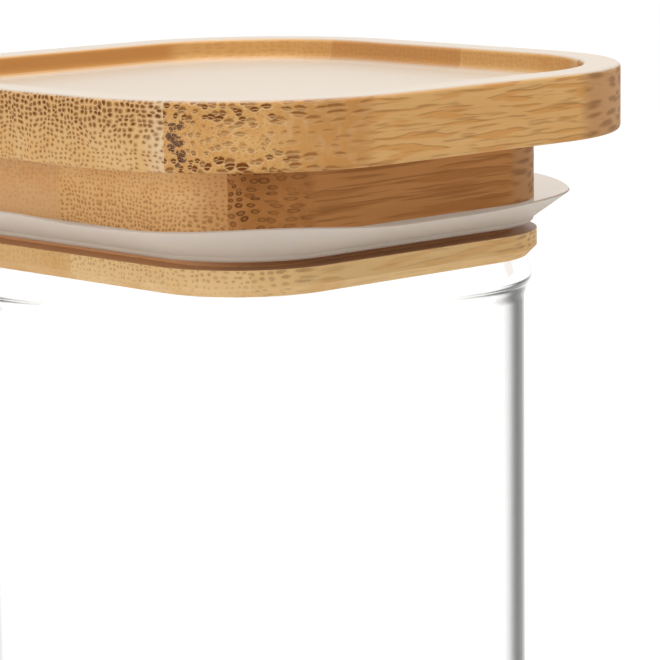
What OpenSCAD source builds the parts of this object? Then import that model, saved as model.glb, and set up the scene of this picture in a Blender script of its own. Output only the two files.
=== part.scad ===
// Square glass spice jar with a bamboo lid and a silicone seal. Millimetres, +Z up.
// Origin: the middle of the jar's underside. The jar's flat sides face X and Y.
// The lid lies loose on the rim, turned an eighth of a turn, so its corners overhang the sides.
// Every outline is a square with rounded corners, and all of them share the same corner
// centres. Sizes out from those centres are called reaches, so walls and gaps stay parallel.

/* [Glass jar] */
// Width of the jar across its flat sides
jar_w = 57.2; // [52:0.2:62]
// Outside radius of the jar's upright corners
jar_corner_r = 15.6; // [14:0.2:17.6]
// Height of the glass
jar_h = 90; // [60:1:120]
// Thickness of the side walls
wall_t = 2.2; // [2:0.1:3]
// Height of the inside floor above the table
floor_h = 5.5; // [4.5:0.5:8]
// Radius between the sides and the underside
heel_r = 4; // [2:0.5:5]
// Radius between the inside walls and the floor
floor_r = 5; // [3:0.5:6]
// Width of the flat ring that the jar stands on
foot_w = 3.5; // [2.5:0.5:5]
// Height of the hollow pressed up under the bottom
punt_h = 1.2; // [0.6:0.2:2]
// Width of the slope between the foot ring and the hollow
punt_slope_w = 2; // [1:0.5:3]
// How far the rim flares out from the side
flare_out = 0.8; // [0.4:0.05:1.2]
// Height over which the flare runs out into the side
flare_h = 3; // [2:0.2:5]
// Rounding of the rim's outer edge
rim_out_r = 0.5; // [0.3:0.1:0.8]
// Rounding of the rim's inner edge
rim_in_r = 1.2; // [0.6:0.1:1.4]

/* [Tray board] */
// How far the tray board stands out past the jar's sides
lid_overhang = 5.4; // [4:0.2:8]
// Thickness of the tray board
tray_t = 7; // [6:0.5:9]
// Width of the raised border round the tray
border_w = 4; // [3:0.5:6]
// Depth of the tray that takes the foot of the next jar
tray_depth = 2.5; // [1.5:0.25:3.5]
// Radius the cutter leaves between the tray's wall and floor
tray_floor_r = 1; // [0.5:0.25:1.5]
// Rounding of the board's outer edges
edge_r = 0.5; // [0.3:0.1:0.8]
// Width of the first strip, at the front right
tray_first_w = 11.7; // [8:0.1:16]
// Width of the whole strips in the tray board
tray_strip_w = 20; // [16:0.5:22]

/* [Plug board] */
// Thickness of the plug board
plug_t = 7.3; // [6:0.1:9]
// How far the plug board stands back from the keeper board's rim
plug_step = 0.3; // [0.1:0.1:0.6]
// Width of the first strip, at the front right
plug_first_w = 4.3; // [3:0.1:8]
// Width of the whole strips in the plug and keeper boards
plug_strip_w = 22.6; // [18:0.1:25]

/* [Keeper board] */
// Gap between the keeper board and the inside of the jar's mouth
keeper_gap = 1.3; // [0.5:0.1:1.6]
// Thickness of the keeper board's rim, under the seal
keeper_rim_t = 2.8; // [2:0.1:4]
// Slant cut off the keeper board's lower edge
keeper_chamfer = 1; // [0.5:0.1:1.5]
// Width of the first strip, at the front right
keeper_first_w = 2.8; // [2.5:0.1:8]

/* [Seal] */
// Depth of the groove that holds the seal, in from the plug board's side
groove_depth = 2.4; // [1.8:0.1:3]
// Height of the groove
groove_h = 3.3; // [3:0.1:4.5]
// Height of the seal's band, which leaves a dark line open under it
band_h = 2.5; // [2.2:0.1:2.9]
// How far the lip reaches out past the mouth's wall, before the wall bends it up
lip_squeeze = 2.2; // [1.6:0.1:3]
// Rise of the lip from its root to its edge
lip_rise = 3.1; // [2:0.1:4]
// Thickness of the lip at its root
lip_root_t = 1.3; // [1:0.1:1.6]
// Thickness of the lip at its edge
lip_edge_t = 0.5; // [0.4:0.1:0.8]
// Height of the lip's root above the band's underside
lip_root_h = 0.3; // [0.1:0.1:0.5]

/* [Pose] */
// How far the lid is turned on the jar, in degrees
lid_turn = 45; // [30:1:60]
// Gap between the lid's underside and the rim it lies on
rest_gap = 0.05; // [0.02:0.01:0.2]

/* [Hidden] */
$fn = 96;

// Steps in a quarter turn of a profile's roundings
arc_steps = 6;

// Half the side of the square on which every corner centre lies
centre_half = jar_w / 2 - jar_corner_r;

// Reaches: distances out from that square
jar_reach = jar_corner_r;
mouth_reach = jar_reach - wall_t;
rim_reach = jar_reach + flare_out;
keeper_reach = mouth_reach - keeper_gap;
plug_reach = keeper_reach - plug_step;
neck_reach = plug_reach - groove_depth;
lip_reach = mouth_reach + lip_squeeze;
lid_reach = jar_reach + lid_overhang;
tray_reach = lid_reach - border_w;

// Heights, first on the jar and then on the lid, measured from the lid's underside
keeper_t = keeper_rim_t + groove_h;
plug_top = keeper_t + plug_t;
lid_t = plug_top + tray_t;
tray_floor = lid_t - tray_depth;
band_bottom = keeper_t - band_h;
lid_z = jar_h + rest_gap;

// Points of an arc about (x, y), from one angle to another
function arc(x, y, r, from, to) =
    let (steps = ceil(abs(to - from) / 90 * arc_steps))
    [for (i = [0:steps]) let (t = from + (to - from) * i / steps) [x + r * cos(t), y + r * sin(t)]];

// Points of the curve by which the side flares out to the rim, steeper and steeper
function flare_curve(x, y0, y1, out) =
    [for (i = [0:arc_steps]) let (t = i / arc_steps) [x + out * pow(t, 3), y0 + (y1 - y0) * t]];

// Carries a profile round the square: four straight sides and four quarter turns.
// The profile's first coordinate is its reach and its second is its height.
module carry_round(profile) {
    for (side = [0:3])
        rotate(90 * side) {
            translate([centre_half, 0, 0])
                rotate([90, 0, 0])
                    linear_extrude(height = 2 * centre_half, center = true)
                        polygon(profile);
            translate([centre_half, centre_half, 0])
                rotate_extrude(angle = 90)
                    polygon(profile);
        }
}

// A closed slab: a profile that starts at reach 0 and the block inside it
module slab(profile, low, high) {
    carry_round(profile);
    translate([-centre_half, -centre_half, low])
        cube([2 * centre_half, 2 * centre_half, high - low]);
}

// Keeps the part of a board between two glue lines that run along the grain, which is X
module strip(reach, low, high) {
    span = 2 * (centre_half + reach) + 2;
    intersection() {
        children();
        translate([-span / 2, low, -1])
            cube([span, high - low, lid_t + 2]);
    }
}

// Glue lines of a board, from its front edge to its back edge
function glue_lines(reach, first_w, strip_w, count) =
    let (half = centre_half + reach)
    [for (i = [0:count]) i == 0 ? -half - 1 : i == count ? half + 1 : -half + first_w + (i - 1) * strip_w];

// Puts the lid's parts where the lid lies
module on_rim() {
    translate([0, 0, lid_z])
        rotate(lid_turn)
            children();
}

// The jar: one piece of pressed glass, open at the top
module glass_jar() {
    foot_reach = jar_reach - heel_r - foot_w;
    profile = concat(
        [[0, punt_h], [foot_reach - punt_slope_w, punt_h], [foot_reach, 0]],
        arc(jar_reach - heel_r, heel_r, heel_r, -90, 0),
        flare_curve(jar_reach, jar_h - flare_h, jar_h - rim_out_r, flare_out),
        arc(rim_reach - rim_out_r, jar_h - rim_out_r, rim_out_r, 15, 90),
        arc(mouth_reach + rim_in_r, jar_h - rim_in_r, rim_in_r, 90, 180),
        arc(mouth_reach - floor_r, floor_h + floor_r, floor_r, 0, -90),
        [[0, floor_h]]
    );
    color([0.88, 0.93, 0.92, 0.45])
        slab(profile, punt_h, floor_h);
}

// The tray board: a raised border round a shallow tray
module tray_board() {
    profile = concat(
        [[0, plug_top]],
        arc(lid_reach - edge_r, plug_top + edge_r, edge_r, -90, 0),
        arc(lid_reach - edge_r, lid_t - edge_r, edge_r, 0, 90),
        arc(tray_reach + edge_r, lid_t - edge_r, edge_r, 90, 180),
        arc(tray_reach - tray_floor_r, tray_floor + tray_floor_r, tray_floor_r, 0, -90),
        [[0, tray_floor]]
    );
    slab(profile, plug_top, tray_floor);
}

// The plug board: the part of the lid that shows between the tray board and the seal
module plug_board() {
    profile = [[0, keeper_t], [plug_reach, keeper_t], [plug_reach, plug_top], [0, plug_top]];
    slab(profile, keeper_t, plug_top);
}

// The keeper board: a neck that the seal is stretched over and the rim that keeps it on
module keeper_board() {
    profile = [
        [0, 0],
        [keeper_reach - keeper_chamfer, 0],
        [keeper_reach, keeper_chamfer],
        [keeper_reach, keeper_rim_t],
        [neck_reach, keeper_rim_t],
        [neck_reach, keeper_t],
        [0, keeper_t]
    ];
    slab(profile, 0, keeper_t);
}

// One strip of the tray board, counted from the front right
module tray_strip(number) {
    lines = glue_lines(lid_reach, tray_first_w, tray_strip_w, 4);
    color([0.82, 0.64, 0.40])
        on_rim()
            strip(lid_reach, lines[number - 1], lines[number])
                tray_board();
}

// One strip of the plug board, counted from the front right
module plug_strip(number) {
    lines = glue_lines(plug_reach, plug_first_w, plug_strip_w, 3);
    color([0.72, 0.51, 0.30])
        on_rim()
            strip(plug_reach, lines[number - 1], lines[number])
                plug_board();
}

// One strip of the keeper board, counted from the front right
module keeper_strip(number) {
    lines = glue_lines(keeper_reach, keeper_first_w, plug_strip_w, 3);
    color([0.80, 0.64, 0.42])
        on_rim()
            strip(keeper_reach, lines[number - 1], lines[number])
                keeper_board();
}

// The silicone seal: a band on the neck and a thin lip that flares up and out
module seal_ring() {
    root = band_bottom + lip_root_h;
    slant = atan2(lip_rise, lip_reach - plug_reach);
    edge = [lip_reach, root + lip_rise];
    profile = [
        [neck_reach, band_bottom],
        [plug_reach, band_bottom],
        [plug_reach, root],
        edge,
        edge + lip_edge_t * [-sin(slant), cos(slant)],
        [plug_reach, root + lip_root_t],
        [plug_reach, keeper_t],
        [neck_reach, keeper_t]
    ];
    color([0.76, 0.72, 0.68])
        on_rim()
            carry_round(profile);
}

glass_jar();
tray_strip(1);  // tray_strip_1
tray_strip(2);  // tray_strip_2
tray_strip(3);  // tray_strip_3
tray_strip(4);  // tray_strip_4
plug_strip(1);  // plug_strip_1
plug_strip(2);  // plug_strip_2
plug_strip(3);  // plug_strip_3
keeper_strip(1);  // keeper_strip_1
keeper_strip(2);  // keeper_strip_2
keeper_strip(3);  // keeper_strip_3
seal_ring();
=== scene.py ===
"""Looks of the square glass spice jar with its bamboo lid and silicone seal.

Everything stands in the row frame, in metres. The jar's flat sides face X and Y. The lid lies on the rim,
turned an eighth of a turn, with its grain along its own X. Sizes of the object are given in millimetres.
"""

import logging
import math
from collections.abc import Callable
from dataclasses import dataclass, field
from enum import Enum
from functools import partial
from typing import Optional, Union

import bmesh
import bpy
from mathutils import Matrix, Vector


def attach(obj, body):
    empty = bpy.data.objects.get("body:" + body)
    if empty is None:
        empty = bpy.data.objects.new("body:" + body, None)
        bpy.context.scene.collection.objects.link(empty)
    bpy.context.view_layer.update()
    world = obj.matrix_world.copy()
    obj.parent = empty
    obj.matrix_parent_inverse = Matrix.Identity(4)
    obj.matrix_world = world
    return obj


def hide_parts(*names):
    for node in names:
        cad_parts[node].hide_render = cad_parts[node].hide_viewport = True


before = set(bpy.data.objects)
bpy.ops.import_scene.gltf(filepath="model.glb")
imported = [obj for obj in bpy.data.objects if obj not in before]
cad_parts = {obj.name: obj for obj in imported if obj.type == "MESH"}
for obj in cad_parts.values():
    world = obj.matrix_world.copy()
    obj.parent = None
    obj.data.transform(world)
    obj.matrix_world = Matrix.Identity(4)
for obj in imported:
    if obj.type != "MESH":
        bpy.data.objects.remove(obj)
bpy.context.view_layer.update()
MM = 0.001
QUARTER = math.pi / 2
log = logging.getLogger("spice_jar")

Colour = tuple[float, float, float, float]
Trio = tuple[float, float, float]
Profile = list[tuple[float, float]]
Source = Union[bpy.types.Node, bpy.types.NodeSocket, float, str]
Adder = Callable[..., bpy.types.Node]

# Where a strip's look changes, as start and end in millimetres along the grain, across it or outwards
BURNT_END = (-4.0, -6.0)
FAR_HALF = (-6.0, 8.0)
FAR_END = (10.0, 12.0)
PAINTED_SHADE = (-12.0, -24.0)
TRAY_WALL = (-6.0, -12.0)

# How these nodes are set unless a line says otherwise
USUAL = {
    "Math": {"operation": "MULTIPLY"},
    "MapRange": {"interpolation_type": "SMOOTHSTEP"},
    "Mix": {"data_type": "RGBA"},
    "TexVoronoi": {"voronoi_dimensions": "2D"}}


# Helpers

def linear(hex_colour: str) -> Colour:
    """Turns an sRGB hex colour into linear light.

    Args:
        hex_colour: The colour as "#rrggbb".

    Returns:
        Red, green, blue and an alpha of 1.
    """
    parts = [int(hex_colour[i:i + 2], 16) / 255 for i in (1, 3, 5)]
    light = [c / 12.92 if c <= 0.04045 else ((c + 0.055) / 1.055) ** 2.4 for c in parts]
    return (light[0], light[1], light[2], 1.0)


def add_node(tree: bpy.types.NodeTree, kind: str, inputs: Union[tuple, dict] = (),
             **settings) -> bpy.types.Node:
    """Adds one node with its settings, plain inputs and links.

    Args:
        tree: The node tree that gets the node.
        kind: The node's Blender type name, without the "ShaderNode" that it starts with.
        inputs: What goes in, in order or by name: a socket, a node, a hex colour or a plain value. A node
            gives the first output that it has in use.
        **settings: Properties of the node itself, where they aren't the usual ones.

    Returns:
        The new node.
    """
    made = tree.nodes.new("ShaderNode" + kind)
    for name, value in {**USUAL.get(kind, {}), **settings}.items():
        setattr(made, name, value)
    named = inputs if isinstance(inputs, dict) else dict(enumerate(inputs))
    for name, source in named.items():
        if isinstance(source, bpy.types.Node):
            source = next(out for out in source.outputs if out.enabled)
        if isinstance(source, bpy.types.NodeSocket):
            tree.links.new(source, made.inputs[name])
        else:
            made.inputs[name].default_value = linear(source) if isinstance(source, str) else source
    return made


def new_material(name: str) -> tuple[bpy.types.Material, Adder]:
    """Makes an empty node material.

    Args:
        name: The material's name.

    Returns:
        The material, and add_node for its tree.
    """
    material = bpy.data.materials.new(name)
    material.use_nodes = True
    material.node_tree.nodes.clear()
    return material, partial(add_node, material.node_tree)


def put_on(piece: bpy.types.Object, material: bpy.types.Material) -> None:
    """Gives a piece its material.

    Args:
        piece: The object to dress.
        material: The material for all of it.
    """
    piece.data.materials.clear()
    piece.data.materials.append(material)


def piece_from(bm: bmesh.types.BMesh, name: str, sharp_deg: float = 40.0) -> bpy.types.Object:
    """Turns a finished bmesh into an object at the origin, smooth but for its sharp edges.

    Args:
        bm: The bmesh, in metres. It is freed.
        name: The piece's name.
        sharp_deg: Edges that bend by more than this stay sharp.

    Returns:
        The new object, linked to the scene.
    """
    for face in bm.faces:
        face.smooth = True
    for edge in bm.edges:
        if len(edge.link_faces) == 2 and edge.calc_face_angle(0.0) > math.radians(sharp_deg):
            edge.smooth = False
    mesh = bpy.data.meshes.new(name)
    bm.to_mesh(mesh)
    bm.free()
    made = bpy.data.objects.new(name, mesh)
    bpy.context.scene.collection.objects.link(made)
    return made


def arc(x: float, y: float, r: float, start: float, end: float, steps: int) -> Profile:
    """Points along an arc of a profile.

    Args:
        x: The arc centre's reach.
        y: The arc centre's height.
        r: The arc's radius.
        start: First angle in degrees.
        end: Last angle in degrees.
        steps: Number of pieces the arc is cut into.

    Returns:
        The points, both ends included.
    """
    angles = [math.radians(start + (end - start) * i / steps) for i in range(steps + 1)]
    return [(x + r * math.cos(a), y + r * math.sin(a)) for a in angles]


def stretch(a: tuple[float, float], b: tuple[float, float], steps: int) -> Profile:
    """Points along a straight stretch of a profile.

    Args:
        a: The first point.
        b: The last point.
        steps: Number of pieces the stretch is cut into.

    Returns:
        The points, without the last.
    """
    return [(a[0] + (b[0] - a[0]) * i / steps, a[1] + (b[1] - a[1]) * i / steps) for i in range(steps)]


def carry_round(profile: Profile, centre_half: float, steps: int, side_cuts: int) -> bmesh.types.BMesh:
    """Carries a closed or open profile round a square with rounded corners.

    Args:
        profile: Points (reach, height) in millimetres, in order. The last joins the first.
        centre_half: Half the side of the square of corner centres, in millimetres.
        steps: Pieces in each quarter turn.
        side_cuts: Pieces in each straight side.

    Returns:
        A bmesh in metres, with the corner centres' square left open where reach is 0.
    """
    bm = bmesh.new()
    c = centre_half * MM
    ring = [bm.verts.new((c + reach * MM, -c, height * MM)) for reach, height in profile]
    edges = [bm.edges.new((a, b)) for a, b in zip(ring, ring[1:] + ring[:1])
             if (a.co - b.co).length > 1e-9]
    for _ in range(side_cuts):
        made = bmesh.ops.extrude_edge_only(bm, edges=edges)["geom"]
        bmesh.ops.translate(bm, vec=(0, 2 * c / side_cuts, 0),
                            verts=[g for g in made if isinstance(g, bmesh.types.BMVert)])
        edges = [g for g in made if isinstance(g, bmesh.types.BMEdge)]
    bmesh.ops.spin(bm, geom=edges, cent=(c, c, 0), axis=(0, 0, 1), angle=QUARTER, steps=steps,
                   use_merge=False, use_duplicate=False)
    bmesh.ops.spin(bm, geom=bm.verts[:] + bm.edges[:] + bm.faces[:], cent=(0, 0, 0), axis=(0, 0, 1),
                   angle=3 * QUARTER, steps=3, use_merge=False, use_duplicate=True)
    bmesh.ops.remove_doubles(bm, verts=bm.verts, dist=1e-6)
    return bm


def close_up(bm: bmesh.types.BMesh) -> None:
    """Fills the open middles of a bmesh and turns its faces outwards.

    Args:
        bm: The bmesh to close.
    """
    open_edges = [e for e in bm.edges if len(e.link_faces) == 1]
    if open_edges:
        bmesh.ops.holes_fill(bm, edges=open_edges, sides=0)
    bmesh.ops.dissolve_degenerate(bm, dist=1e-7, edges=bm.edges)
    bmesh.ops.recalc_face_normals(bm, faces=bm.faces)


# Finishes. Roughness, IOR and the like start from typical values for glass, silicone and oiled bamboo

@dataclass(frozen=True)
class PressedGlass:
    """Soda-lime glass, pressed in a mould and fire-polished: clear and bright, with soft grey lines where its
    corners and its rim are seen at a slant: a painted reflection that stands in for the dark of a room.

    Attributes:
        slants: The skin's painted tone by how far it turns away: a painted reflection of the dark of a room,
            which the thick corners would gather and a white studio hasn't got.
        flare_shift: How much further the flare seems to turn away, which darkens its painted grey.
        inner_gloss: Share of the inner skin's mirror that shows.
        straight: Share of the light that passes unbent: a thin even wall hardly moves what is behind it.
    """

    name: str = "soda_lime_glass_pressed"
    slants: tuple[tuple[float, str], ...] = (
        (0.49, "#fefefe"), (0.56, "#dcdcdb"), (0.618, "#a6a6a5"), (0.66, "#838483"), (0.71, "#777877"),
        (0.80, "#929392"), (0.88, "#c5c6c5"), (0.97, "#f4f4f3"))
    flare_shift: float = 0.1
    inner_gloss: float = 0.5
    straight: float = 0.93
    ior: float = 1.5
    shadow: str = "#f9faf9"

    def tone(self, node: Adder, skin: Source, reach: Source, body_reach: float) -> bpy.types.Node:
        """The painted grey of the outer skin by the slant at which it is seen, a little more on the flare.

        Args:
            node: Adds a node to the material's tree.
            skin: 1 on the upright outer skin, 0 elsewhere.
            reach: The point's reach in metres.
            body_reach: The outer skin's reach below the flare, in millimetres.

        Returns:
            The colour ramp's node.
        """
        flare_from, flare_full = body_reach + 0.05, body_reach + 0.5
        shift = node("MapRange", (reach, flare_from * MM, flare_full * MM, 0.0, self.flare_shift))
        slant = node("LayerWeight", {"Blend": 0.5}).outputs["Facing"]
        leaning = node("Math", (slant, shift), operation="ADD")
        ramp = node("ValToRGB", (node("Math", (leaning, skin)),))
        stops = ramp.color_ramp.elements
        while len(stops) < len(self.slants):
            stops.new(0.5)
        for stop, (position, colour) in zip(stops, self.slants):
            stop.position = position
            stop.color = linear(colour)
        return ramp

    def material(self, centre_half: float, body_reach: float, wall: float) -> bpy.types.Material:
        """Builds the glass: mostly clear, painted grey at slants of its outer skin, a mirror on its inner
        one.

        Args:
            centre_half: Half the side of the square of corner centres, in millimetres.
            body_reach: The outer skin's reach from those centres below the flare, in millimetres.
            wall: The wall's thickness, in millimetres.

        Returns:
            The material.
        """
        material, node = new_material(self.name)
        place = node("TexCoord").outputs

        # A point's reach from the nearest corner centre, or from the line between two of them
        folded = node("VectorMath", (place["Object"],), operation="ABSOLUTE")
        past = node("VectorMath", (folded, (centre_half * MM, centre_half * MM, 1.0)), operation="SUBTRACT")
        reach = node("VectorMath", (node("VectorMath", (past, (0, 0, 0)), operation="MAXIMUM"),),
                     operation="LENGTH")

        outside = node("Math", (reach, (body_reach - 0.5 * wall) * MM), operation="GREATER_THAN")
        entering = node("Math", (1.0, node("NewGeometry").outputs["Backfacing"]), operation="SUBTRACT")
        inside = node("Math", (entering, outside), operation="SUBTRACT", use_clamp=True)
        tilt = node("SeparateXYZ", (place["Normal"],)).outputs["Z"]
        tilt = node("Math", (tilt,), operation="ABSOLUTE")
        upright = node("MapRange", (tilt, 0.62, 0.85, 1.0, 0.0), interpolation_type="LINEAR")
        skin = node("Math", (node("Math", (outside, entering)), upright))
        # Painted reflection: the outer skin turns grey where it is seen at a slant
        tone = self.tone(node, skin, reach, body_reach)

        bent = node("BsdfPrincipled", {
            "Base Color": tone, "Roughness": 0.0, "IOR": self.ior, "Transmission Weight": 1.0})
        unbent = node("BsdfTransparent", {"Color": tone})
        clear = node("MixShader", (self.straight, bent, unbent))
        mirror = node("BsdfAnisotropic", {"Color": "#ffffff", "Roughness": 0.0})
        shine = node("Math", (node("Fresnel", {"IOR": self.ior}), self.inner_gloss))
        gloss = node("Math", (inside, shine))
        seen = node("MixShader", (gloss, clear, mirror))
        lit = node("BsdfTransparent", {"Color": self.shadow})
        glass = node("MixShader", (node("LightPath").outputs["Is Shadow Ray"], seen, lit))
        node("OutputMaterial", {"Surface": glass})
        return material


@dataclass(frozen=True)
class MouldedSilicone:
    """Silicone rubber, moulded: grey-beige and matt, with painted light that makes it paler towards its edge
    and painted shade at its root, and thin enough at the lip to let light through.

    Attributes:
        outer_light: Share of light that comes through to the outer face.
        inner_light: Share that comes through to the inner face, which is seen against the light.
        cloud_l: Length of a cloud in the rubber, in millimetres.
        grit: Width of the mould's grain, in millimetres: the real one is finer than the picture shows.
        side_half: Half the band, in millimetres, over which the outer look changes to the inner one.
    """

    name: str = "silicone_rubber_moulded"
    body: str = "#b3a89b"
    cloud_and_painted_light_tone: str = "#d0cbc4"
    glow: str = "#f3ebe2"
    outer_light: float = 0.18
    inner_light: float = 0.8
    cloud_l: float = 4.0
    grit: float = 1 / 6
    side_half: float = 4.0

    def material(self, root: float, edge: float) -> bpy.types.Material:
        """Builds the silicone: soft light inside, faint clouds, a fine matt skin, and painted light at the
        edge.

        Args:
            root: Height of the lip's root, in millimetres.
            edge: Height of the lip's edge, in millimetres.

        Returns:
            The material.
        """
        material, node = new_material(self.name)
        place = node("TexCoord").outputs
        here = place["Object"]
        cloud = node("TexNoise", {"Vector": here, "Scale": 1 / (self.cloud_l * MM), "Detail": 3.0})
        height = node("SeparateXYZ", (here,)).outputs["Z"]
        # Painted light and shade: darker at the lip's root, paler up to its edge, with faint clouds
        rise = node("MapRange", (height, root * MM, edge * MM), interpolation_type="LINEAR")
        cloud_and_painted_light_share = node("Math", (cloud, 0.2, rise), use_clamp=True, operation="MULTIPLY_ADD")
        colour = node("Mix", {0: cloud_and_painted_light_share, 6: self.body, 7: self.cloud_and_painted_light_tone})
        skin = node("TexNoise", {"Vector": here, "Scale": 1 / (self.grit * MM), "Detail": 2.0})
        relief = node("Bump", {"Height": skin, "Strength": 0.15, "Distance": 0.02 * MM})
        rubber = node("BsdfPrincipled", {
            "Base Color": colour, "Roughness": 0.55, "IOR": 1.41, "Subsurface Weight": 0.2,
            "Subsurface Scale": 0.5 * MM, "Normal": relief})

        # The face that looks away from the middle is the outer one
        level = node("VectorMath", (here, (1.0, 1.0, 0.0)), operation="MULTIPLY")
        outward = node("VectorMath", (place["Normal"], level), operation="DOT_PRODUCT")
        light = node("MapRange", (outward, -self.side_half * MM, self.side_half * MM,
                                  self.inner_light, self.outer_light), interpolation_type="LINEAR")
        front = node("MixShader", (light, rubber, node("BsdfTranslucent", {"Color": self.glow})))
        let_by = node("Math", (node("LightPath").outputs["Is Shadow Ray"], self.outer_light))
        leaving = node("NewGeometry").outputs["Backfacing"]
        open_way = node("Math", (let_by, leaving), operation="MAXIMUM")
        seen = node("MixShader", (open_way, front, node("BsdfTransparent", {"Color": "#ffffff"})))
        node("OutputMaterial", {"Surface": seen})
        return material


class DenseSide(Enum):
    """Where in a strip's height the fibre bundles crowd: at the culm's hard skin, or where two skins meet."""

    UP = "up"
    DOWN = "down"
    BOTH = "both"


class Bundle(Enum):
    """How a cut fibre bundle looks in the end grain."""

    DOT = "dot"
    RING = "ring"
    LOBES = "lobes"


@dataclass(frozen=True)
class WoodPoint:
    """What a strip's look is worked out from at one point, as node outputs. Places are in millimetres."""

    node: Adder  # Adds a node to the material's tree
    here: Source  # Along the grain, across it and up
    along: Source
    across: Source
    up: Source
    end_grain: Source  # Share of end grain
    on_top: Source  # 1 where the surface looks up
    in_tray: Source  # 1 on the tray's upright wall
    oblique: Source  # 0 where the bundles are cut square, 1 where they are cut at a long slant
    height: Source  # 0 at the strip's sparse side, 1 at its dense side
    clouds: Source
    painted_sheen: Source  # How much the oiled top's painted sheen hides the grain
    shown: Source  # How clearly the pattern shows


@dataclass(frozen=True)
class CutBundles:
    """The fibre bundles that a strip's end grain shows, as node outputs."""

    side: Source  # The swaying place across the grain, then the swaying height
    rise: Source
    section: Source  # Both as one place, with the height drawn together
    own: Source  # Three random values of each bundle
    ragged: Source
    far: Source  # Distance from the bundle's middle, then the place across and over it
    beside: Source
    above: Source


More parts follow.
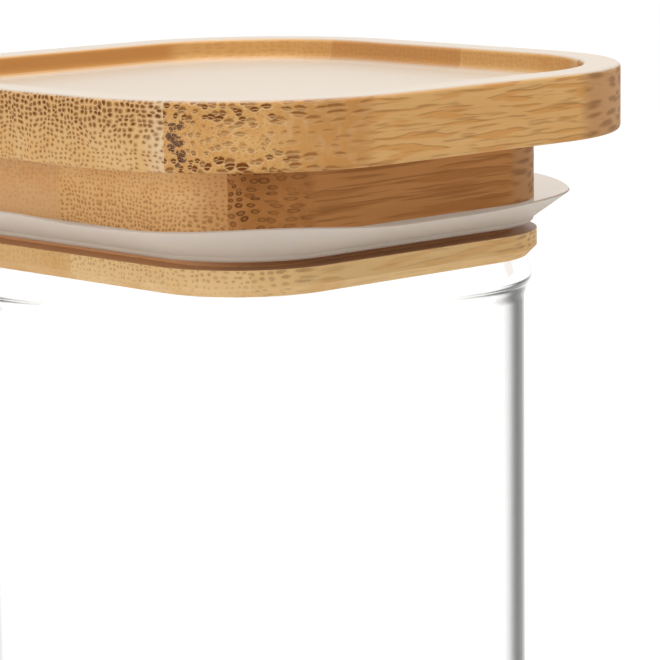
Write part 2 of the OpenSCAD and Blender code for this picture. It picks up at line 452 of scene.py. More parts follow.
@dataclass(frozen=True)
class SandedBamboo:
    """One strip of glued bamboo, sanded and oiled: satin and straw-coloured, with dark fibre bundles that
    show as dots in the end grain and as lens-shaped streaks along it. Sizes are in millimetres, heights
    above the table."""

    low: float
    high: float
    ground: str = "#cda066"
    skin: str = "#ab773e"  # The darker wood by the culm's skin
    bundle: str = "#683d14"
    core: str = "#c68b42"  # The warm tone of clouds and lenses
    line: str = "#946a38"
    pale: str = "#efd7ab"  # The net between crowded bundles, pale veins, and the painted highlight on a dimple's lower edge
    top: str = "#c5bcaf"  # The pale tone of the oiled top, shown more at low angles as a painted sheen
    painted_shade_top: Optional[str] = None  # The top's tone with painted shade, towards the near right side
    skin_share: float = 0.35
    side: Optional[str] = None  # The ground where bundles are cut at a slant
    length: Optional[str] = None  # The ground of the long sides
    far_ground: Optional[str] = None  # The ground towards the far end
    net: float = 0.3
    spacing: float = 0.64  # Between bundles, which are this far apart in real end grain
    tall: float = 0.82  # A bundle's height as a share of its width
    bundle_size: float = 1.0
    randomness: float = 0.55
    look: Bundle = Bundle.DOT
    dense: DenseSide = DenseSide.UP
    contrast: float = 1.0
    lens_l: float = 6.7
    offset: tuple[float, float] = (0.0, 0.0)  # Place in the noise, so that no two strips are alike
    joint: Optional[tuple[float, float, str, float]] = None  # Glue: place across, reach, tone and share
    neck_from: Optional[float] = None  # Height from which the piece has the top's tone and its painted shade: the neck in the groove under the seal
    burnt: tuple[Trio, ...] = ()  # Place across, height and radius

    def grain_noise(self, node: Adder, where: Source, size: Trio, detail: float,
                    shift: Optional[float] = None) -> bpy.types.Node:
        """Adds noise that is drawn out along the grain, as clouds, fibres and veins are.

        Args:
            node: Adds a node to the material's tree.
            where: The place in millimetres.
            size: Size of a feature along the grain, across it and up, in millimetres.
            detail: How much finer detail it has.
            shift: Shift along the grain, with the strip's own offset across and up. None leaves both out.

        Returns:
            The noise's node.
        """
        moved = (0.0, 0.0, 0.0) if shift is None else (shift, *self.offset)
        place = node("Mapping", {
            "Vector": where, "Scale": tuple(1 / mm for mm in size), "Location": moved})
        return node("TexNoise", {"Vector": place, "Scale": 1.0, "Detail": detail})

    def read_point(self, node: Adder, turn: float) -> WoodPoint:
        """Works out where a point lies in the strip and how it faces.

        Args:
            node: Adds a node to the material's tree.
            turn: The lid's turn about Z, in radians.

        Returns:
            The point.
        """
        place = node("TexCoord").outputs
        unturned = (0.0, 0.0, -turn)
        here = node("Mapping", {"Vector": place["Object"], "Rotation": unturned, "Scale": (1 / MM,) * 3})
        along, across, up = node("SeparateXYZ", (here,)).outputs
        facing = node("Mapping", {"Vector": place["Normal"], "Rotation": unturned}, vector_type="NORMAL")
        faces_along, faces_across, faces_up = node("SeparateXYZ", (facing,)).outputs
        squareness = node("Math", (faces_along,), operation="ABSOLUTE")
        on_top = node("MapRange", (faces_up, 0.4, 0.85))

        # The tray's wall looks towards the lid's middle
        outward = node("Math", (faces_along, along, node("Math", (faces_across, across))),
                       operation="MULTIPLY_ADD")
        in_tray = node("MapRange", (outward, *TRAY_WALL))

        # Painted sheen: the oiled top is made paler at low angles, which hides its grain
        facing_away = node("LayerWeight", {"Blend": 0.5}).outputs["Facing"]
        painted_sheen = node("MapRange", (facing_away, 0.3, 0.74))
        top_contrast = node("MapRange", (painted_sheen, 0.0, 1.0, 0.8, 0.25))
        shown = node("Math", (
            node("MapRange", (in_tray, 0.0, 1.0, 1.0, 0.12)),
            node("MapRange", (on_top, 0.0, 1.0, self.contrast, top_contrast))))

        start, end = (self.high, self.low) if self.dense is DenseSide.DOWN else (self.low, self.high)
        height = node("MapRange", (up, start, end))
        if self.dense is DenseSide.BOTH:
            height = node("Math", (height, 2.0, -1.0), operation="MULTIPLY_ADD")
            height = node("Math", (height,), operation="ABSOLUTE")
        return WoodPoint(
            node=node, here=here, along=along, across=across, up=up, on_top=on_top, in_tray=in_tray,
            painted_sheen=painted_sheen, shown=shown, height=height,
            end_grain=node("MapRange", (squareness, 0.05, 0.2)),
            oblique=node("MapRange", (squareness, 0.66, 0.35)),
            clouds=self.grain_noise(node, here, (20.0, 5.0, 20 / 7), 2.0, 7.0))

    def material(self, strip: str, turn: float) -> bpy.types.Material:
        """Builds the bamboo of one strip.

        Args:
            strip: The strip's node.
            turn: The lid's turn about Z, in radians.

        Returns:
            The material.
        """
        material, node = new_material("bamboo_sanded_" + strip)
        at = self.read_point(node, turn)
        cut, dimple = self.cut_across(at)
        length, fibres = self.cut_along(at)
        colour = node("Mix", {0: at.end_grain, 6: length, 7: cut})
        # Painted light: the tray's upright wall is paler and warmer, as if lit by light bounced off the
        # tray's floor
        painted_bounce_share = node("Math", (at.in_tray, 0.2))
        colour = node("Mix", {0: painted_bounce_share, 6: colour, 7: "#e0a860"})
        # Painted shade: the top's tone darkens towards the near right side
        painted_shade = node("MapRange", (at.across, *PAINTED_SHADE))
        top = node("Mix", {0: painted_shade, 6: self.top, 7: self.painted_shade_top or self.top})
        # Painted sheen: more of the top's pale tone covers the grain at low angles
        cover = node("MapRange", (at.painted_sheen, 0.0, 1.0, 0.3, 0.88))
        colour = node("Mix", {0: node("Math", (at.on_top, cover)), 6: colour, 7: top})
        # Painted shade: the neck under the seal takes the top's darkened tone
        if self.neck_from is not None:
            on_neck = node("Math", (at.up, self.neck_from), operation="GREATER_THAN")
            colour = node("Mix", {0: on_neck, 6: colour, 7: top})
        if self.burnt:
            colour = self.scorched(at, colour)

        # Bundles are soft and lie a little deeper than the sanded ground, fibres stand a little higher
        depth = 0.05 if self.look is Bundle.DOT else 0.09
        sink = node("MapRange", (at.in_tray, 0.0, 1.0, -1.0, -0.1))
        sink = node("Math", (at.end_grain, sink))
        height = node("Math", (fibres, 0.3, node("Math", (dimple, sink))), operation="MULTIPLY_ADD")
        relief = node("Bump", {"Height": height, "Strength": 0.7, "Distance": depth * MM})
        wood = node("BsdfPrincipled", {
            "Base Color": colour, "Normal": relief,
            "Specular IOR Level": node("MapRange", (at.on_top, 0.0, 1.0, 0.12, 0.55)),
            "Roughness": node("MapRange", (at.on_top, 0.0, 1.0, 0.55, 0.38))})
        node("OutputMaterial", {"Surface": wood})
        return material

    def cut_across(self, at: WoodPoint) -> tuple[Source, Source]:
        """The end grain: cut bundles that crowd towards the culm's skin.

        Args:
            at: The point.

        Returns:
            The colour, and how deep the surface is dimpled.
        """
        node = at.node
        bundles = self.scatter(at)

        # The plain wood: a tone for the far half, clouds, the culm's skin and the glue
        to_far = node("MapRange", (at.along, *FAR_HALF))
        ground = node("Mix", {0: to_far, 6: self.ground, 7: self.far_ground or self.ground})
        cloudy = node("MapRange", (at.clouds, 0.35, 0.7, 0.0, 0.35))
        ground = node("Mix", {0: cloudy, 6: ground, 7: self.core})
        skin = node("MapRange", (at.height, 0.45, 1.0, 0.0, self.skin_share))
        ground = node("Mix", {0: skin, 6: ground, 7: self.skin})
        if self.joint is not None:
            place, reach, tone, share = self.joint
            off = node("Math", (at.across, place), operation="SUBTRACT")
            off = node("Math", (off,), operation="ABSOLUTE")
            glue = node("MapRange", (off, reach, 0.2, 0.0, share))
            ground = node("Mix", {0: glue, 6: ground, 7: tone})
        if self.look is Bundle.DOT:
            return self.dots(at, bundles, ground)
        return self.rings(at, bundles, ground)

    def scatter(self, at: WoodPoint) -> CutBundles:
        """Places the bundles in the section, in rows that sway.

        Args:
            at: The point.

        Returns:
            The bundles.
        """
        node = at.node
        sway = node("SeparateColor", (
            self.grain_noise(node, at.here, (100 / 7, 10 / 3, 10 / 3), 1.0, 0.0).outputs[1],)).outputs
        side = node("Math", (sway[0], 1.6, at.across), operation="MULTIPLY_ADD")
        side = node("Math", (side, 50 + 7 * self.offset[0]), operation="ADD")  # Past every place below 0
        rise = node("Math", (sway[1], 1.2, at.up), operation="MULTIPLY_ADD")
        rise = node("Math", (rise, 5 * self.offset[1]), operation="ADD")
        section = node("CombineXYZ", (side, node("Math", (rise, self.tall), operation="DIVIDE")))
        cells = node("TexVoronoi", {
            "Vector": section, "Scale": 1 / self.spacing, "Randomness": self.randomness}).outputs
        ragged = self.grain_noise(node, at.here, (1 / 6, 1 / 6, 1 / 6), 2.0)
        roughness = 0.1 if self.look is Bundle.RING else 0.3
        edge = node("Math", (ragged, roughness, -0.5 * roughness), operation="MULTIPLY_ADD")
        middle = node("VectorMath", (section, cells["Position"]), operation="SUBTRACT")
        beside, above, _ = node("SeparateXYZ", (middle,)).outputs
        return CutBundles(
            side=side, rise=rise, section=section, ragged=ragged, beside=beside, above=above,
            own=node("SeparateColor", (cells["Color"],)).outputs,
            far=node("Math", (cells["Distance"], edge), operation="ADD"))

    def dots(self, at: WoodPoint, bundles: CutBundles, ground: Source) -> tuple[Source, Source]:
        """Fine end grain: dark dots with soft halos in a pale net.

        Args:
            at: The point.
            bundles: The bundles.
            ground: The plain wood.

        Returns:
            The colour, and how deep the surface is dimpled.
        """
        node = at.node
        radius = node("Math", (bundles.own[0], 0.08, 0.22 * self.bundle_size), operation="MULTIPLY_ADD")
        swell = node("MapRange", (at.height, 0.0, 0.9, 0.8, 1.25))
        inside = node("Math", (bundles.far, node("Math", (radius, swell))), operation="DIVIDE")
        spot = node("MapRange", (inside, 1.3, 0.6))
        crowded = node("Math", (at.height, at.clouds), operation="ADD")

        halo = node("Math", (
            node("MapRange", (inside, 2.4, 1.0)),
            node("MapRange", (crowded, 0.6, 1.5, 0.25, 0.6))))
        strength = node("Math", (
            node("MapRange", (bundles.own[1], 0.0, 1.0, 0.55, 0.9)),
            node("MapRange", (crowded, 0.4, 1.6, 0.65, 1.15))))
        to_edge = node("TexVoronoi", {
            "Vector": bundles.section, "Scale": 1 / self.spacing, "Randomness": self.randomness},
            feature="DISTANCE_TO_EDGE")
        net = node("Math", (
            node("MapRange", (to_edge, 0.18, 0.0)),
            node("MapRange", (crowded, 0.8, 1.5, 0.3 * self.net, self.net))))

        dark = node("Math", (spot, strength))
        for share, tone in ((halo, self.skin), (net, self.pale), (dark, self.bundle)):
            ground = node("Mix", {0: node("Math", (share, at.shown)), 6: ground, 7: tone})
        return ground, spot

    def rings(self, at: WoodPoint, bundles: CutBundles, ground: Source) -> tuple[Source, Source]:
        """Coarse end grain: rings, or lobes split by a pale bow, which fade where they are cut at a slant.

        Args:
            at: The point.
            bundles: The bundles.
            ground: The plain wood.

        Returns:
            The colour, and how deep the surface is dimpled.
        """
        node = at.node
        if self.look is Bundle.LOBES:
            radius = node("Math", (bundles.own[0], 0.22, 0.19 * self.bundle_size), operation="MULTIPLY_ADD")
            swell = node("MapRange", (at.height, 0.35, 0.85, 0.78, 1.12))
            radius = node("Math", (radius, swell))
        else:
            radius = node("Math", (bundles.own[0], 0.10, 0.27 * self.bundle_size), operation="MULTIPLY_ADD")
        inside = node("Math", (bundles.far, radius), operation="DIVIDE")
        spot = node("MapRange", (inside, 1.25, 0.75))

        # Painted highlight: the lower edge of a dimple is paler, as if it caught the light
        lit = node("Math", (
            node("MapRange", (inside, 1.6, 1.1, 0.0, 0.35)),
            node("MapRange", (bundles.above, 0.0, -0.1))))
        lit = node("Math", (lit, node("MapRange", (at.oblique, 0.0, 1.0, 1.0, 0.3))))
        if self.look is Bundle.RING:
            inner = self.core
            heart = node("MapRange", (inside, 0.8, 0.3, 0.0, 0.8))
            strength = node("Math", (
                node("MapRange", (bundles.own[1], 0.0, 1.0, 0.6, 1.0)),
                node("MapRange", (at.oblique, 0.0, 1.0, 1.0, 0.5))))
        else:
            inner = "#dfb880"
            heart = self.bow(node, bundles)
            strength = node("Math", (
                node("MapRange", (bundles.own[1], 0.0, 0.5, 0.6, 1.0)),
                node("MapRange", (at.height, 0.4, 0.8, 0.5, 1.0))))
            # The painted highlight is stronger on stronger bundles
            lit = node("Math", (
                lit, node("MapRange", (strength, 0.2, 0.8, 0.3, 0.9))))
            lower = node("MapRange", (bundles.above, 0.1, -0.06))
            faded = node("Math", (lower, 0.45, 0.4), operation="MULTIPLY_ADD")
            faded = node("Math", (at.oblique, faded))
            faded = node("Math", (1.0, faded), operation="SUBTRACT")
            strength = node("Math", (strength, faded))
            ground = self.specked(at, bundles, ground)

        veins = self.grain_noise(node, at.here, (10 / 3, 5 / 11, 20 / 9), 3.0)
        veins = node("MapRange", (veins, 0.52, 0.75, 0.0, 0.1))
        mottle = self.grain_noise(node, at.here, (2 / 3, 2 / 3, 10 / 11), 3.0, 4.0)
        mottle = node("MapRange", (mottle, 0.4, 0.65, 0.0, 0.5))
        slanted = node("Math", (at.oblique, 0.6))
        ground = node("Mix", {0: slanted, 6: ground, 7: self.side or self.core})
        bundle = node("Mix", {0: heart, 6: self.bundle, 7: inner})
        dimple = node("Math", (spot, strength))
        # lit is the painted highlight on a dimple's lower edge
        for share, tone in ((mottle, self.core), (veins, self.pale), (lit, self.pale), (dimple, bundle)):
            ground = node("Mix", {0: node("Math", (share, at.shown)), 6: ground, 7: tone})
        to_far = node("MapRange", (at.along, *FAR_END))
        return node("Mix", {0: to_far, 6: ground, 7: self.far_end(at, bundles)}), dimple

    def bow(self, node: Adder, bundles: CutBundles) -> Source:
        """The pale bow that splits a lobed bundle.

        Args:
            node: Adds a node to the material's tree.
            bundles: The bundles.

        Returns:
            The bow's share.
        """
        curve = node("Math", (bundles.beside, bundles.beside))
        curve = node("Math", (curve, 0.9, bundles.above), operation="MULTIPLY_ADD")
        curve = node("Math", (curve, 0.02), operation="ADD")
        frayed = node("Math", (bundles.ragged, 0.1, -0.05), operation="MULTIPLY_ADD")
        curve = node("Math", (curve, frayed), operation="ADD")
        off = node("Math", (curve,), operation="ABSOLUTE")
        return node("MapRange", (off, 0.06, 0.01, 0.0, 0.6))

    def specked(self, at: WoodPoint, bundles: CutBundles, ground: Source) -> Source:
        """Fills the ground between lobed bundles with small soft specks.

        Args:
            at: The point.
            bundles: The bundles.
            ground: The plain wood.

        Returns:
            The ground's colour.
        """
        node = at.node
        speck_spacing = 0.45 * self.spacing
        specks = node("TexVoronoi", {
            "Vector": bundles.section, "Scale": 1 / speck_spacing, "Randomness": 0.9})
        speck = node("Math", (
            node("MapRange", (specks, 0.3, 0.12, 0.0, 0.5)),
            node("MapRange", (at.oblique, 0.0, 0.6, 1.0, 0.2))))
        return node("Mix", {0: node("Math", (speck, at.shown)), 6: ground, 7: "#97662f"})

    def far_end(self, at: WoodPoint, bundles: CutBundles) -> Source:
        """The end grain past the lid's far end, with coarse, soft dots on a darker ground.

        Args:
            at: The point.
            bundles: The bundles.

        Returns:
            The colour.
        """
        node = at.node
        dot_spacing = 0.95
        squeezed = node("Math", (bundles.side, 0.6))
        rough = node("TexVoronoi", {
            "Vector": node("CombineXYZ", (squeezed, bundles.rise)), "Scale": 1 / dot_spacing,
            "Randomness": 0.9})
        rough = node("Math", (rough, node("Math", (at.clouds, 0.3))), operation="ADD")
        dot = node("MapRange", (rough, 0.62, 0.3, 0.0, 0.7))
        return node("Mix", {0: dot, 6: "#b28658", 7: "#80562d"})

    def cut_along(self, at: WoodPoint) -> tuple[Source, Source]:
        """The sides and the top: thin dark lines, and bundles cut lengthwise into long tapered lenses.

        Args:
            at: The point.

        Returns:
            The colour, and the fine fibres from 0 to 1.
        """
        node = at.node
        fibres = self.grain_noise(node, at.here, (self.lens_l / 1.35, 5 / 13, 1 / 3), 1.5, 3.0)
        sway = self.grain_noise(node, at.here, (4.0, 2.0, 2.0), 1.0, 1.0)
        level = node("Math", (node("Math", (at.across, at.up), operation="ADD"),
                              node("Math", (sway, 0.5))), operation="ADD")

        # A lens is filled with the warm tone, and has a dark line on its lower side
        size = (self.lens_l, 2 / 3, 1.0)
        lenses, beyond = (
            self.grain_noise(node, node("CombineXYZ", (at.along, place)), size, 0.4, 6.0)
            for place in (level, node("Math", (level, 0.14), operation="ADD")))
        fill = node("MapRange", (lenses, 0.5, 0.64, 0.0, 0.7))
        slope = node("Math", (lenses, beyond), operation="SUBTRACT")
        drop = node("MapRange", (slope, 0.02, 0.09, 0.0, 0.6))
        off = node("Math", (lenses, 0.56), operation="SUBTRACT")
        off = node("Math", (off,), operation="ABSOLUTE")
        rim = node("Math", (drop, node("MapRange", (off, 0.08, 0.01))))
        lines = node("MapRange", (fibres, 0.54, 0.66, 0.0, 0.5))

        base = node("Mix", {0: at.on_top, 6: self.length or self.ground, 7: self.ground})
        cloudy = node("MapRange", (at.clouds, 0.3, 0.75, 0.0, 0.25))
        wood = node("Mix", {0: cloudy, 6: base, 7: self.core})
        for share, colour in ((fill, self.core), (rim, self.line), (lines, self.line)):
            wood = node("Mix", {0: node("Math", (share, at.shown)), 6: wood, 7: colour})
        return wood, fibres

    def scorched(self, at: WoodPoint, colour: Source) -> Source:
        """Adds the burnt spot, a chain of small dark rings, to the near end's upright faces.

        Args:
            at: The point.
            colour: The colour so far.

        Returns:
            The colour with the spot.
        """
        node = at.node
        ring_spacing = 0.3
        near_side = node("Math", (
            node("MapRange", (at.along, *BURNT_END)),
            node("MapRange", (at.on_top, 0.5, 0.0))))
        here = node("CombineXYZ", (at.across, at.up))
        nearest = 9.0  # Farther than any spot reaches
        for side, height, radius in self.burnt:
            far = node("VectorMath", (here, (side, height, 0.0)), operation="DISTANCE")
            far = node("Math", (far, radius), operation="DIVIDE")
            nearest = node("Math", (far, nearest), operation="MINIMUM")
        small = node("TexVoronoi", {"Vector": here, "Scale": 1 / ring_spacing, "Randomness": 0.9})
        ragged = node("Math", (nearest, node("Math", (small, 0.7))), operation="ADD")
        spot = node("MapRange", (ragged, 1.6, 1.2))
        ring = node("Math", (
            node("MapRange", (small, 0.6, 0.4, 0.35, 0.95)),
            node("MapRange", (small, 0.05, 0.25, 0.4, 1.0))))
        dark = node("Math", (node("Math", (spot, near_side)), ring))
        return node("Mix", {0: dark, 6: colour, 7: "#4b2f2b"})


# The object's sub-assemblies

@dataclass
class Jar:
    """The pressed glass jar. Sizes are in millimetres."""

    width: float = 57.2
    corner_r: float = 15.6
    height: float = 90.0
    wall: float = 2.2
    floor_h: float = 5.5
    heel_r: float = 4.0
    floor_r: float = 5.0
    foot_w: float = 3.5
    punt_h: float = 1.2
    punt_slope: float = 2.0
    flare_out: float = 0.8
    flare_h: float = 2.5
    rim_out_r: float = 0.35
    rim_in_r: float = 1.2
    corner_steps: int = 32
    flare_steps: int = 24
    arc_steps: int = 12
    finish: PressedGlass = field(default_factory=PressedGlass)

    @property
    def centre_half(self) -> float:
        """Half the side of the square of corner centres."""
        return self.width / 2 - self.corner_r

    def flare(self, down: float) -> float:
        """How far the rim stands out: a thin edge over a soft shoulder.

        Args:
            down: Place on the flare, from 0 at its edge to 1 where it has run out into the side.

        Returns:
            The distance out from the side, in millimetres.
        """
        edge = math.exp(-(down / 0.2) ** 2)
        shoulder = 0.5 + 0.5 * math.cos(math.pi * min(1.0, max(0.0, (down - 0.4) / 0.6)))
        return self.flare_out * (0.62 * edge + 0.38 * shoulder)

    def profile(self) -> Profile:
        """The section of the wall and bottom, as reach and height.

        Returns:
            The points, from the middle of the underside round the outside to the inside floor.
        """
        mouth = self.corner_r - self.wall
        foot = self.corner_r - self.heel_r - self.foot_w
        drop = self.flare_h - self.rim_out_r
        shares = [i / self.flare_steps for i in range(self.flare_steps)]
        swell = [(self.corner_r + self.flare(1 - s), self.height - self.flare_h + drop * s) for s in shares]
        return ([(0.0, self.punt_h), (foot - self.punt_slope, self.punt_h), (foot, 0.0)]
                + arc(self.corner_r - self.heel_r, self.heel_r, self.heel_r, -90, 0, self.arc_steps)
                + swell
                + arc(self.corner_r + self.flare_out - self.rim_out_r, self.height - self.rim_out_r,
                      self.rim_out_r, 0, 90, 8)
                + arc(mouth + self.rim_in_r, self.height - self.rim_in_r, self.rim_in_r, 90, 180,
                      self.arc_steps)
                + arc(mouth - self.floor_r, self.floor_h + self.floor_r, self.floor_r, 0, -90,
                      self.arc_steps)
                + [(0.0, self.floor_h)])

    def build(self) -> bpy.types.Object:
        """Builds and dresses the jar.

        Returns:
            The glass piece.
        """
        profile = self.profile()
        bm = carry_round(profile, self.centre_half, self.corner_steps, 1)
        half = self.centre_half * MM
        inner = [f for f in bm.faces
                 if all(abs(max(abs(v.co.x), abs(v.co.y)) - half) < 1e-7 for v in f.verts)]
        bmesh.ops.delete(bm, geom=inner, context="FACES_ONLY")
        close_up(bm)
        piece = piece_from(bm, "jar_glass", 50.0)
        put_on(piece, self.finish.material(self.centre_half, self.corner_r, self.wall))
        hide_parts("glass_jar")
        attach(piece, "jar")
        return piece


@dataclass
class Lid:
    """The bamboo lid and its seal. Sizes are in millimetres, heights are above the table."""

    turn: float = math.radians(45)
    centre_half: float = 13.0
    neck_reach: float = 9.4
    plug_reach: float = 11.8
    lip_reach: float = 15.6
    band_low: float = 93.55
    band_high: float = 96.15
    heel_r: float = 0.6
    lip_rise: float = 2.9
    root_t: float = 1.1
    edge_t: float = 0.18
    corner_steps: int = 24
    side_cuts: int = 14
    sag: float = 0.28
    # Crests and dips of the lip's edge: height, then angle round the lid and width in radians
    waves: tuple[Trio, ...] = (
        (0.4, -2.3, 0.28), (0.6, -0.45, 0.28), (-0.12, -2.66, 0.2), (-0.38, -1.5, 0.42))
    # Finer ripples: height, number round the lid and phase
    ripples: tuple[Trio, ...] = ((0.12, 5, 0.6), (0.07, 11, 0.0))
    silicone: MouldedSilicone = field(default_factory=MouldedSilicone)

    @property
    def lip_low(self) -> float:
        """Height of the lip's root, where the band's rounded heel ends."""
        return self.band_low + self.heel_r

    def finishes(self) -> dict[str, SandedBamboo]:
        """The finish of each strip, by its node.

        Returns:
            Node name to finish.
        """
        tray = {"low": 103.45, "high": 110.45}
        plug = {"low": 96.15, "high": 103.45}
        keeper = {"low": 90.05, "high": 92.85, "neck_from": 92.9, "top": "#deaa7c", "painted_shade_top": "#ab7853",
                  "net": 0.08}
        burnt = ((-23.1, 108.0, 0.35), (-23.8, 108.0, 0.3), (-23.0, 107.1, 0.45), (-23.5, 106.5, 0.5),
                 (-23.0, 106.0, 0.35), (-23.8, 105.4, 0.38), (-23.9, 104.9, 0.33), (-23.5, 104.3, 0.22))
        return {
            "tray_strip_1": SandedBamboo(
                **tray, look=Bundle.LOBES, spacing=0.74, tall=1.08, bundle_size=1.2, randomness=0.85,
                dense=DenseSide.BOTH, ground="#cba067", skin="#c19253", core="#c08748", side="#a8733c",
                bundle="#6c390c", burnt=burnt, offset=(1.3, 4.1)),
            "tray_strip_2": SandedBamboo(
                **tray, ground="#d1aa75", offset=(5.2, 0.7), joint=(-22.3, 2.6, "#d9cab2", 0.42)),
            "tray_strip_3": SandedBamboo(**tray, ground="#cfa772", far_ground="#b9865a", offset=(8.9, 2.6)),
            "tray_strip_4": SandedBamboo(
                **tray, ground="#d6ab70", length="#b37d46", core="#b97f40", offset=(2.4, 9.2)),
            "plug_strip_1": SandedBamboo(
                **plug, look=Bundle.RING, spacing=0.74, tall=0.92, lens_l=16.0, randomness=0.65,
                ground="#aa7542", skin="#804f24", skin_share=0.9, core="#a06a36", side="#b8824c",
                length="#ba854f", line="#855629", bundle="#54300f", pale="#c3945a",
                joint=(-20.5, 1.8, "#b98653", 0.7), offset=(7.3, 1.9)),
            "plug_strip_2": SandedBamboo(
                **plug, dense=DenseSide.DOWN, contrast=0.6, net=0.16, spacing=0.56, skin_share=0.5,
                ground="#d9b17b", skin="#ce9f67", bundle="#7f5122", joint=(-20.5, 4.5, "#b98653", 0.7),
                offset=(0.6, 6.6)),
            "plug_strip_3": SandedBamboo(
                **plug, contrast=0.15, ground="#cfa676", skin="#cba06d", offset=(3.8, 3.3)),
            "keeper_strip_1": SandedBamboo(
                **keeper, contrast=0.45, ground="#d9b681", skin="#d0ab74", offset=(6.1, 8.8)),
            "keeper_strip_2": SandedBamboo(
                **keeper, bundle_size=0.8, contrast=0.4, ground="#dbb885", skin="#d2ae78",
                offset=(9.5, 5.4)),
            "keeper_strip_3": SandedBamboo(
                **keeper, contrast=0.15, ground="#d3aa74", skin="#cfa66e", offset=(4.7, 7.7)),
        }

    def lift(self, x: float, y: float) -> float:
        """How much higher than its moulded line the seal's lip stands, at a place round the lid.

        Args:
            x: Place along the grain, in millimetres.
            y: Place across the grain, in millimetres.

        Returns:
            The lift in millimetres.
        """
        angle = math.atan2(y, x)
        waves = sum(h * math.exp(-((angle - at) / width) ** 2) for h, at, width in self.waves)
        ripples = sum(h * math.sin(count * angle + phase) for h, count, phase in self.ripples)
        return waves + ripples - self.sag

    def build_seal(self) -> bpy.types.Object:
        """Builds and dresses the silicone seal: a band in the groove and a thin lip that flares up and out.

        Returns:
            The seal piece.
        """
        slant = math.atan2(self.lip_rise, self.lip_reach - self.plug_reach)
        tip = (self.lip_reach, self.lip_low + self.lip_rise)
        top = (tip[0] - self.edge_t * math.sin(slant), tip[1] + self.edge_t * math.cos(slant))
        root_top = (self.plug_reach, self.lip_low + self.root_t)
        heel = arc(self.plug_reach - self.heel_r, self.lip_low, self.heel_r, -90, 0, 6)
        profile = ([(self.neck_reach, self.band_low)] + heel[:-1] + stretch(heel[-1], tip, 8)
                   + stretch(tip, top, 2) + stretch(top, root_top, 8) + [root_top]
                   + [(self.plug_reach, self.band_high), (self.neck_reach, self.band_high)])
        bm = carry_round(profile, self.centre_half, self.corner_steps, self.side_cuts)
        close_up(bm)
        span = self.lip_reach - self.plug_reach
        for vert in bm.verts:
            x, y = vert.co.x / MM, vert.co.y / MM
            out_x, out_y = max(abs(x) - self.centre_half, 0), max(abs(y) - self.centre_half, 0)
            reach = math.hypot(out_x, out_y)
            share = min(max((reach - self.plug_reach) / span, 0), 1)
            vert.co.z += share * self.lift(x, y) * MM
        bmesh.ops.rotate(bm, verts=bm.verts, cent=(0, 0, 0), matrix=Matrix.Rotation(self.turn, 3, "Z"))
        piece = piece_from(bm, "seal_lip_ring", 35.0)
        put_on(piece, self.silicone.material(self.lip_low, tip[1]))
        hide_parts("seal_ring")
        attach(piece, "lid")
        return piece

    def dress_boards(self) -> None:
        """Gives each strip of the three boards its own bamboo."""
        for node, finish in self.finishes().items():
            put_on(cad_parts[node], finish.material(node, self.turn))
            log.info("dressed %s", node)


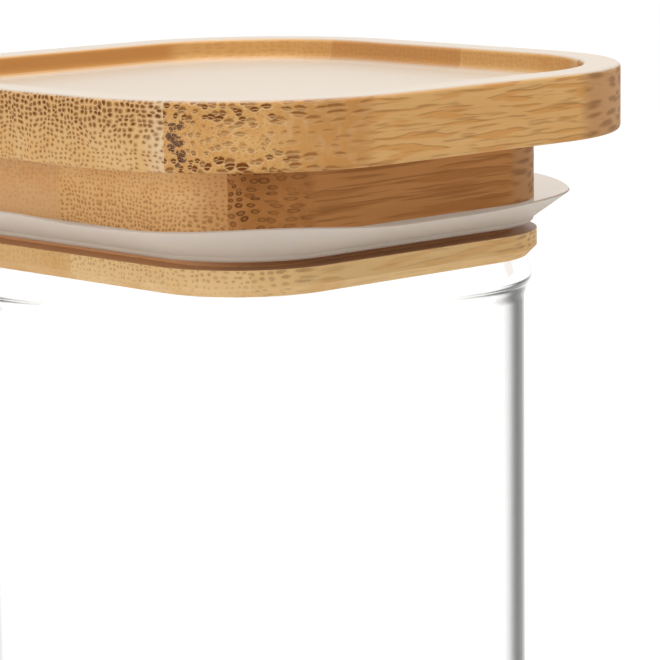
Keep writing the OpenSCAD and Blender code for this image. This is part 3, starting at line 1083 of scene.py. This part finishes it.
@dataclass
class Studio:
    """The pale floor, the soft lamps and the camera."""

    image_px: float = 660.0
    focal_px: float = 3302.4
    pitch: float = 0.1667
    roll: float = -0.0126
    yaw: float = math.radians(1.043)
    lid_top_px: tuple[float, float] = (249.6965, 64.8392)
    lid_top_mm: float = 110.45
    depth_mm: float = 351.53
    floor_dim: str = "#7c7c7c"
    floor_glow: float = 0.93

    def place_camera(self) -> None:
        """Puts the camera where the photograph was taken from, by the middle of the lid's top."""
        sin_p, cos_p = math.sin(self.pitch), math.cos(self.pitch)
        right, down = Vector((1, 0, 0)), Vector((0, -sin_p, -cos_p))
        ahead = Vector((0, cos_p, -sin_p))
        sin_r, cos_r = math.sin(self.roll), math.cos(self.roll)
        turned_right = right * cos_r - down * sin_r
        turned_down = right * sin_r + down * cos_r
        spin = Matrix.Rotation(self.yaw, 3, "Z")
        turned_right, turned_down, ahead = (spin @ v for v in (turned_right, turned_down, ahead))
        half = self.image_px / 2
        a = (self.lid_top_px[0] - half) / self.focal_px
        b = (self.lid_top_px[1] - half) / self.focal_px
        depth = self.depth_mm * MM
        target = Vector((0, 0, self.lid_top_mm * MM))
        data = bpy.data.cameras.new("camera")
        data.sensor_width = 36.0
        data.lens = self.focal_px / self.image_px * data.sensor_width
        data.clip_start = 0.01
        camera = bpy.data.objects.new("camera", data)
        axes = Matrix((turned_right, -turned_down, -ahead)).transposed().to_4x4()
        place = target - (turned_right * a + turned_down * b + ahead) * depth
        camera.matrix_world = Matrix.Translation(place) @ axes
        bpy.context.scene.collection.objects.link(camera)
        bpy.context.scene.camera = camera

    def lamp(self, name: str, place: tuple[float, float, float], size: float, power: float,
             colour: str = "#ffffff") -> None:
        """Adds a square area lamp that faces the lid.

        Args:
            name: The lamp's name.
            place: Its place in metres.
            size: Its side in metres.
            power: Its power in watts.
            colour: Its colour.
        """
        data = bpy.data.lights.new(name, "AREA")
        data.shape = "SQUARE"
        data.size = size
        data.energy = power
        data.color = linear(colour)[:3]
        made = bpy.data.objects.new(name, data)
        aim = Vector((0, 0, 0.09)) - Vector(place)
        made.matrix_world = Matrix.Translation(place) @ aim.to_track_quat("-Z", "Y").to_matrix().to_4x4()
        bpy.context.scene.collection.objects.link(made)

    def background_rays(self, node: Adder) -> Source:
        """A value of 1 for the rays that see the background: the camera's, and those through glass or off it.

        Args:
            node: Adds a node to the tree.

        Returns:
            The value.
        """
        path = node("LightPath").outputs
        seen = node("Math", (path["Is Camera Ray"], path["Is Glossy Ray"]), operation="MAXIMUM")
        return node("Math", (seen, path["Is Transmission Ray"]), operation="MAXIMUM")

    def build(self) -> None:
        """Builds the world, the floor, the lamps and the camera."""
        world = bpy.data.worlds.new("white_studio")
        bpy.context.scene.world = world
        world.use_nodes = True
        world.node_tree.nodes.clear()
        node = partial(add_node, world.node_tree)
        room = node("Background", ("#fffaf4", 0.38))
        white = node("Background", ("#ffffff", 1.0))
        node("OutputWorld", {"Surface": node("MixShader", (self.background_rays(node), room, white))})

        bm = bmesh.new()
        bmesh.ops.create_grid(bm, x_segments=1, y_segments=1, size=6.0)
        floor = piece_from(bm, "floor")
        material, node = new_material("paper_sweep_matt_white")
        paper = node("BsdfDiffuse", {"Color": "#f2f1ef"})
        dim = node("BsdfDiffuse", {"Color": self.floor_dim})
        white = node("AddShader", (dim, node("Emission", {"Strength": self.floor_glow})))
        node("OutputMaterial", {"Surface": node("MixShader", (self.background_rays(node), paper, white))})
        put_on(floor, material)

        self.lamp("overhead_softbox", (0.10, -0.10, 0.75), 0.6, 5.0)
        self.lamp("key_front_left", (-0.55, -0.55, 0.22), 0.35, 2.0)
        self.lamp("fill_right", (0.7, -0.3, 0.3), 0.5, 0.8)
        self.place_camera()


def main() -> None:
    """Builds the object and its studio in order."""
    logging.basicConfig(level=logging.INFO, format="%(name)s: %(message)s")
    jar = Jar()
    lid = Lid()
    log.info("built %s", jar.build().name)
    lid.dress_boards()
    log.info("built %s", lid.build_seal().name)
    Studio().build()
    bpy.context.scene.view_settings.view_transform = "Standard"


if __name__ == "__main__":
    main()
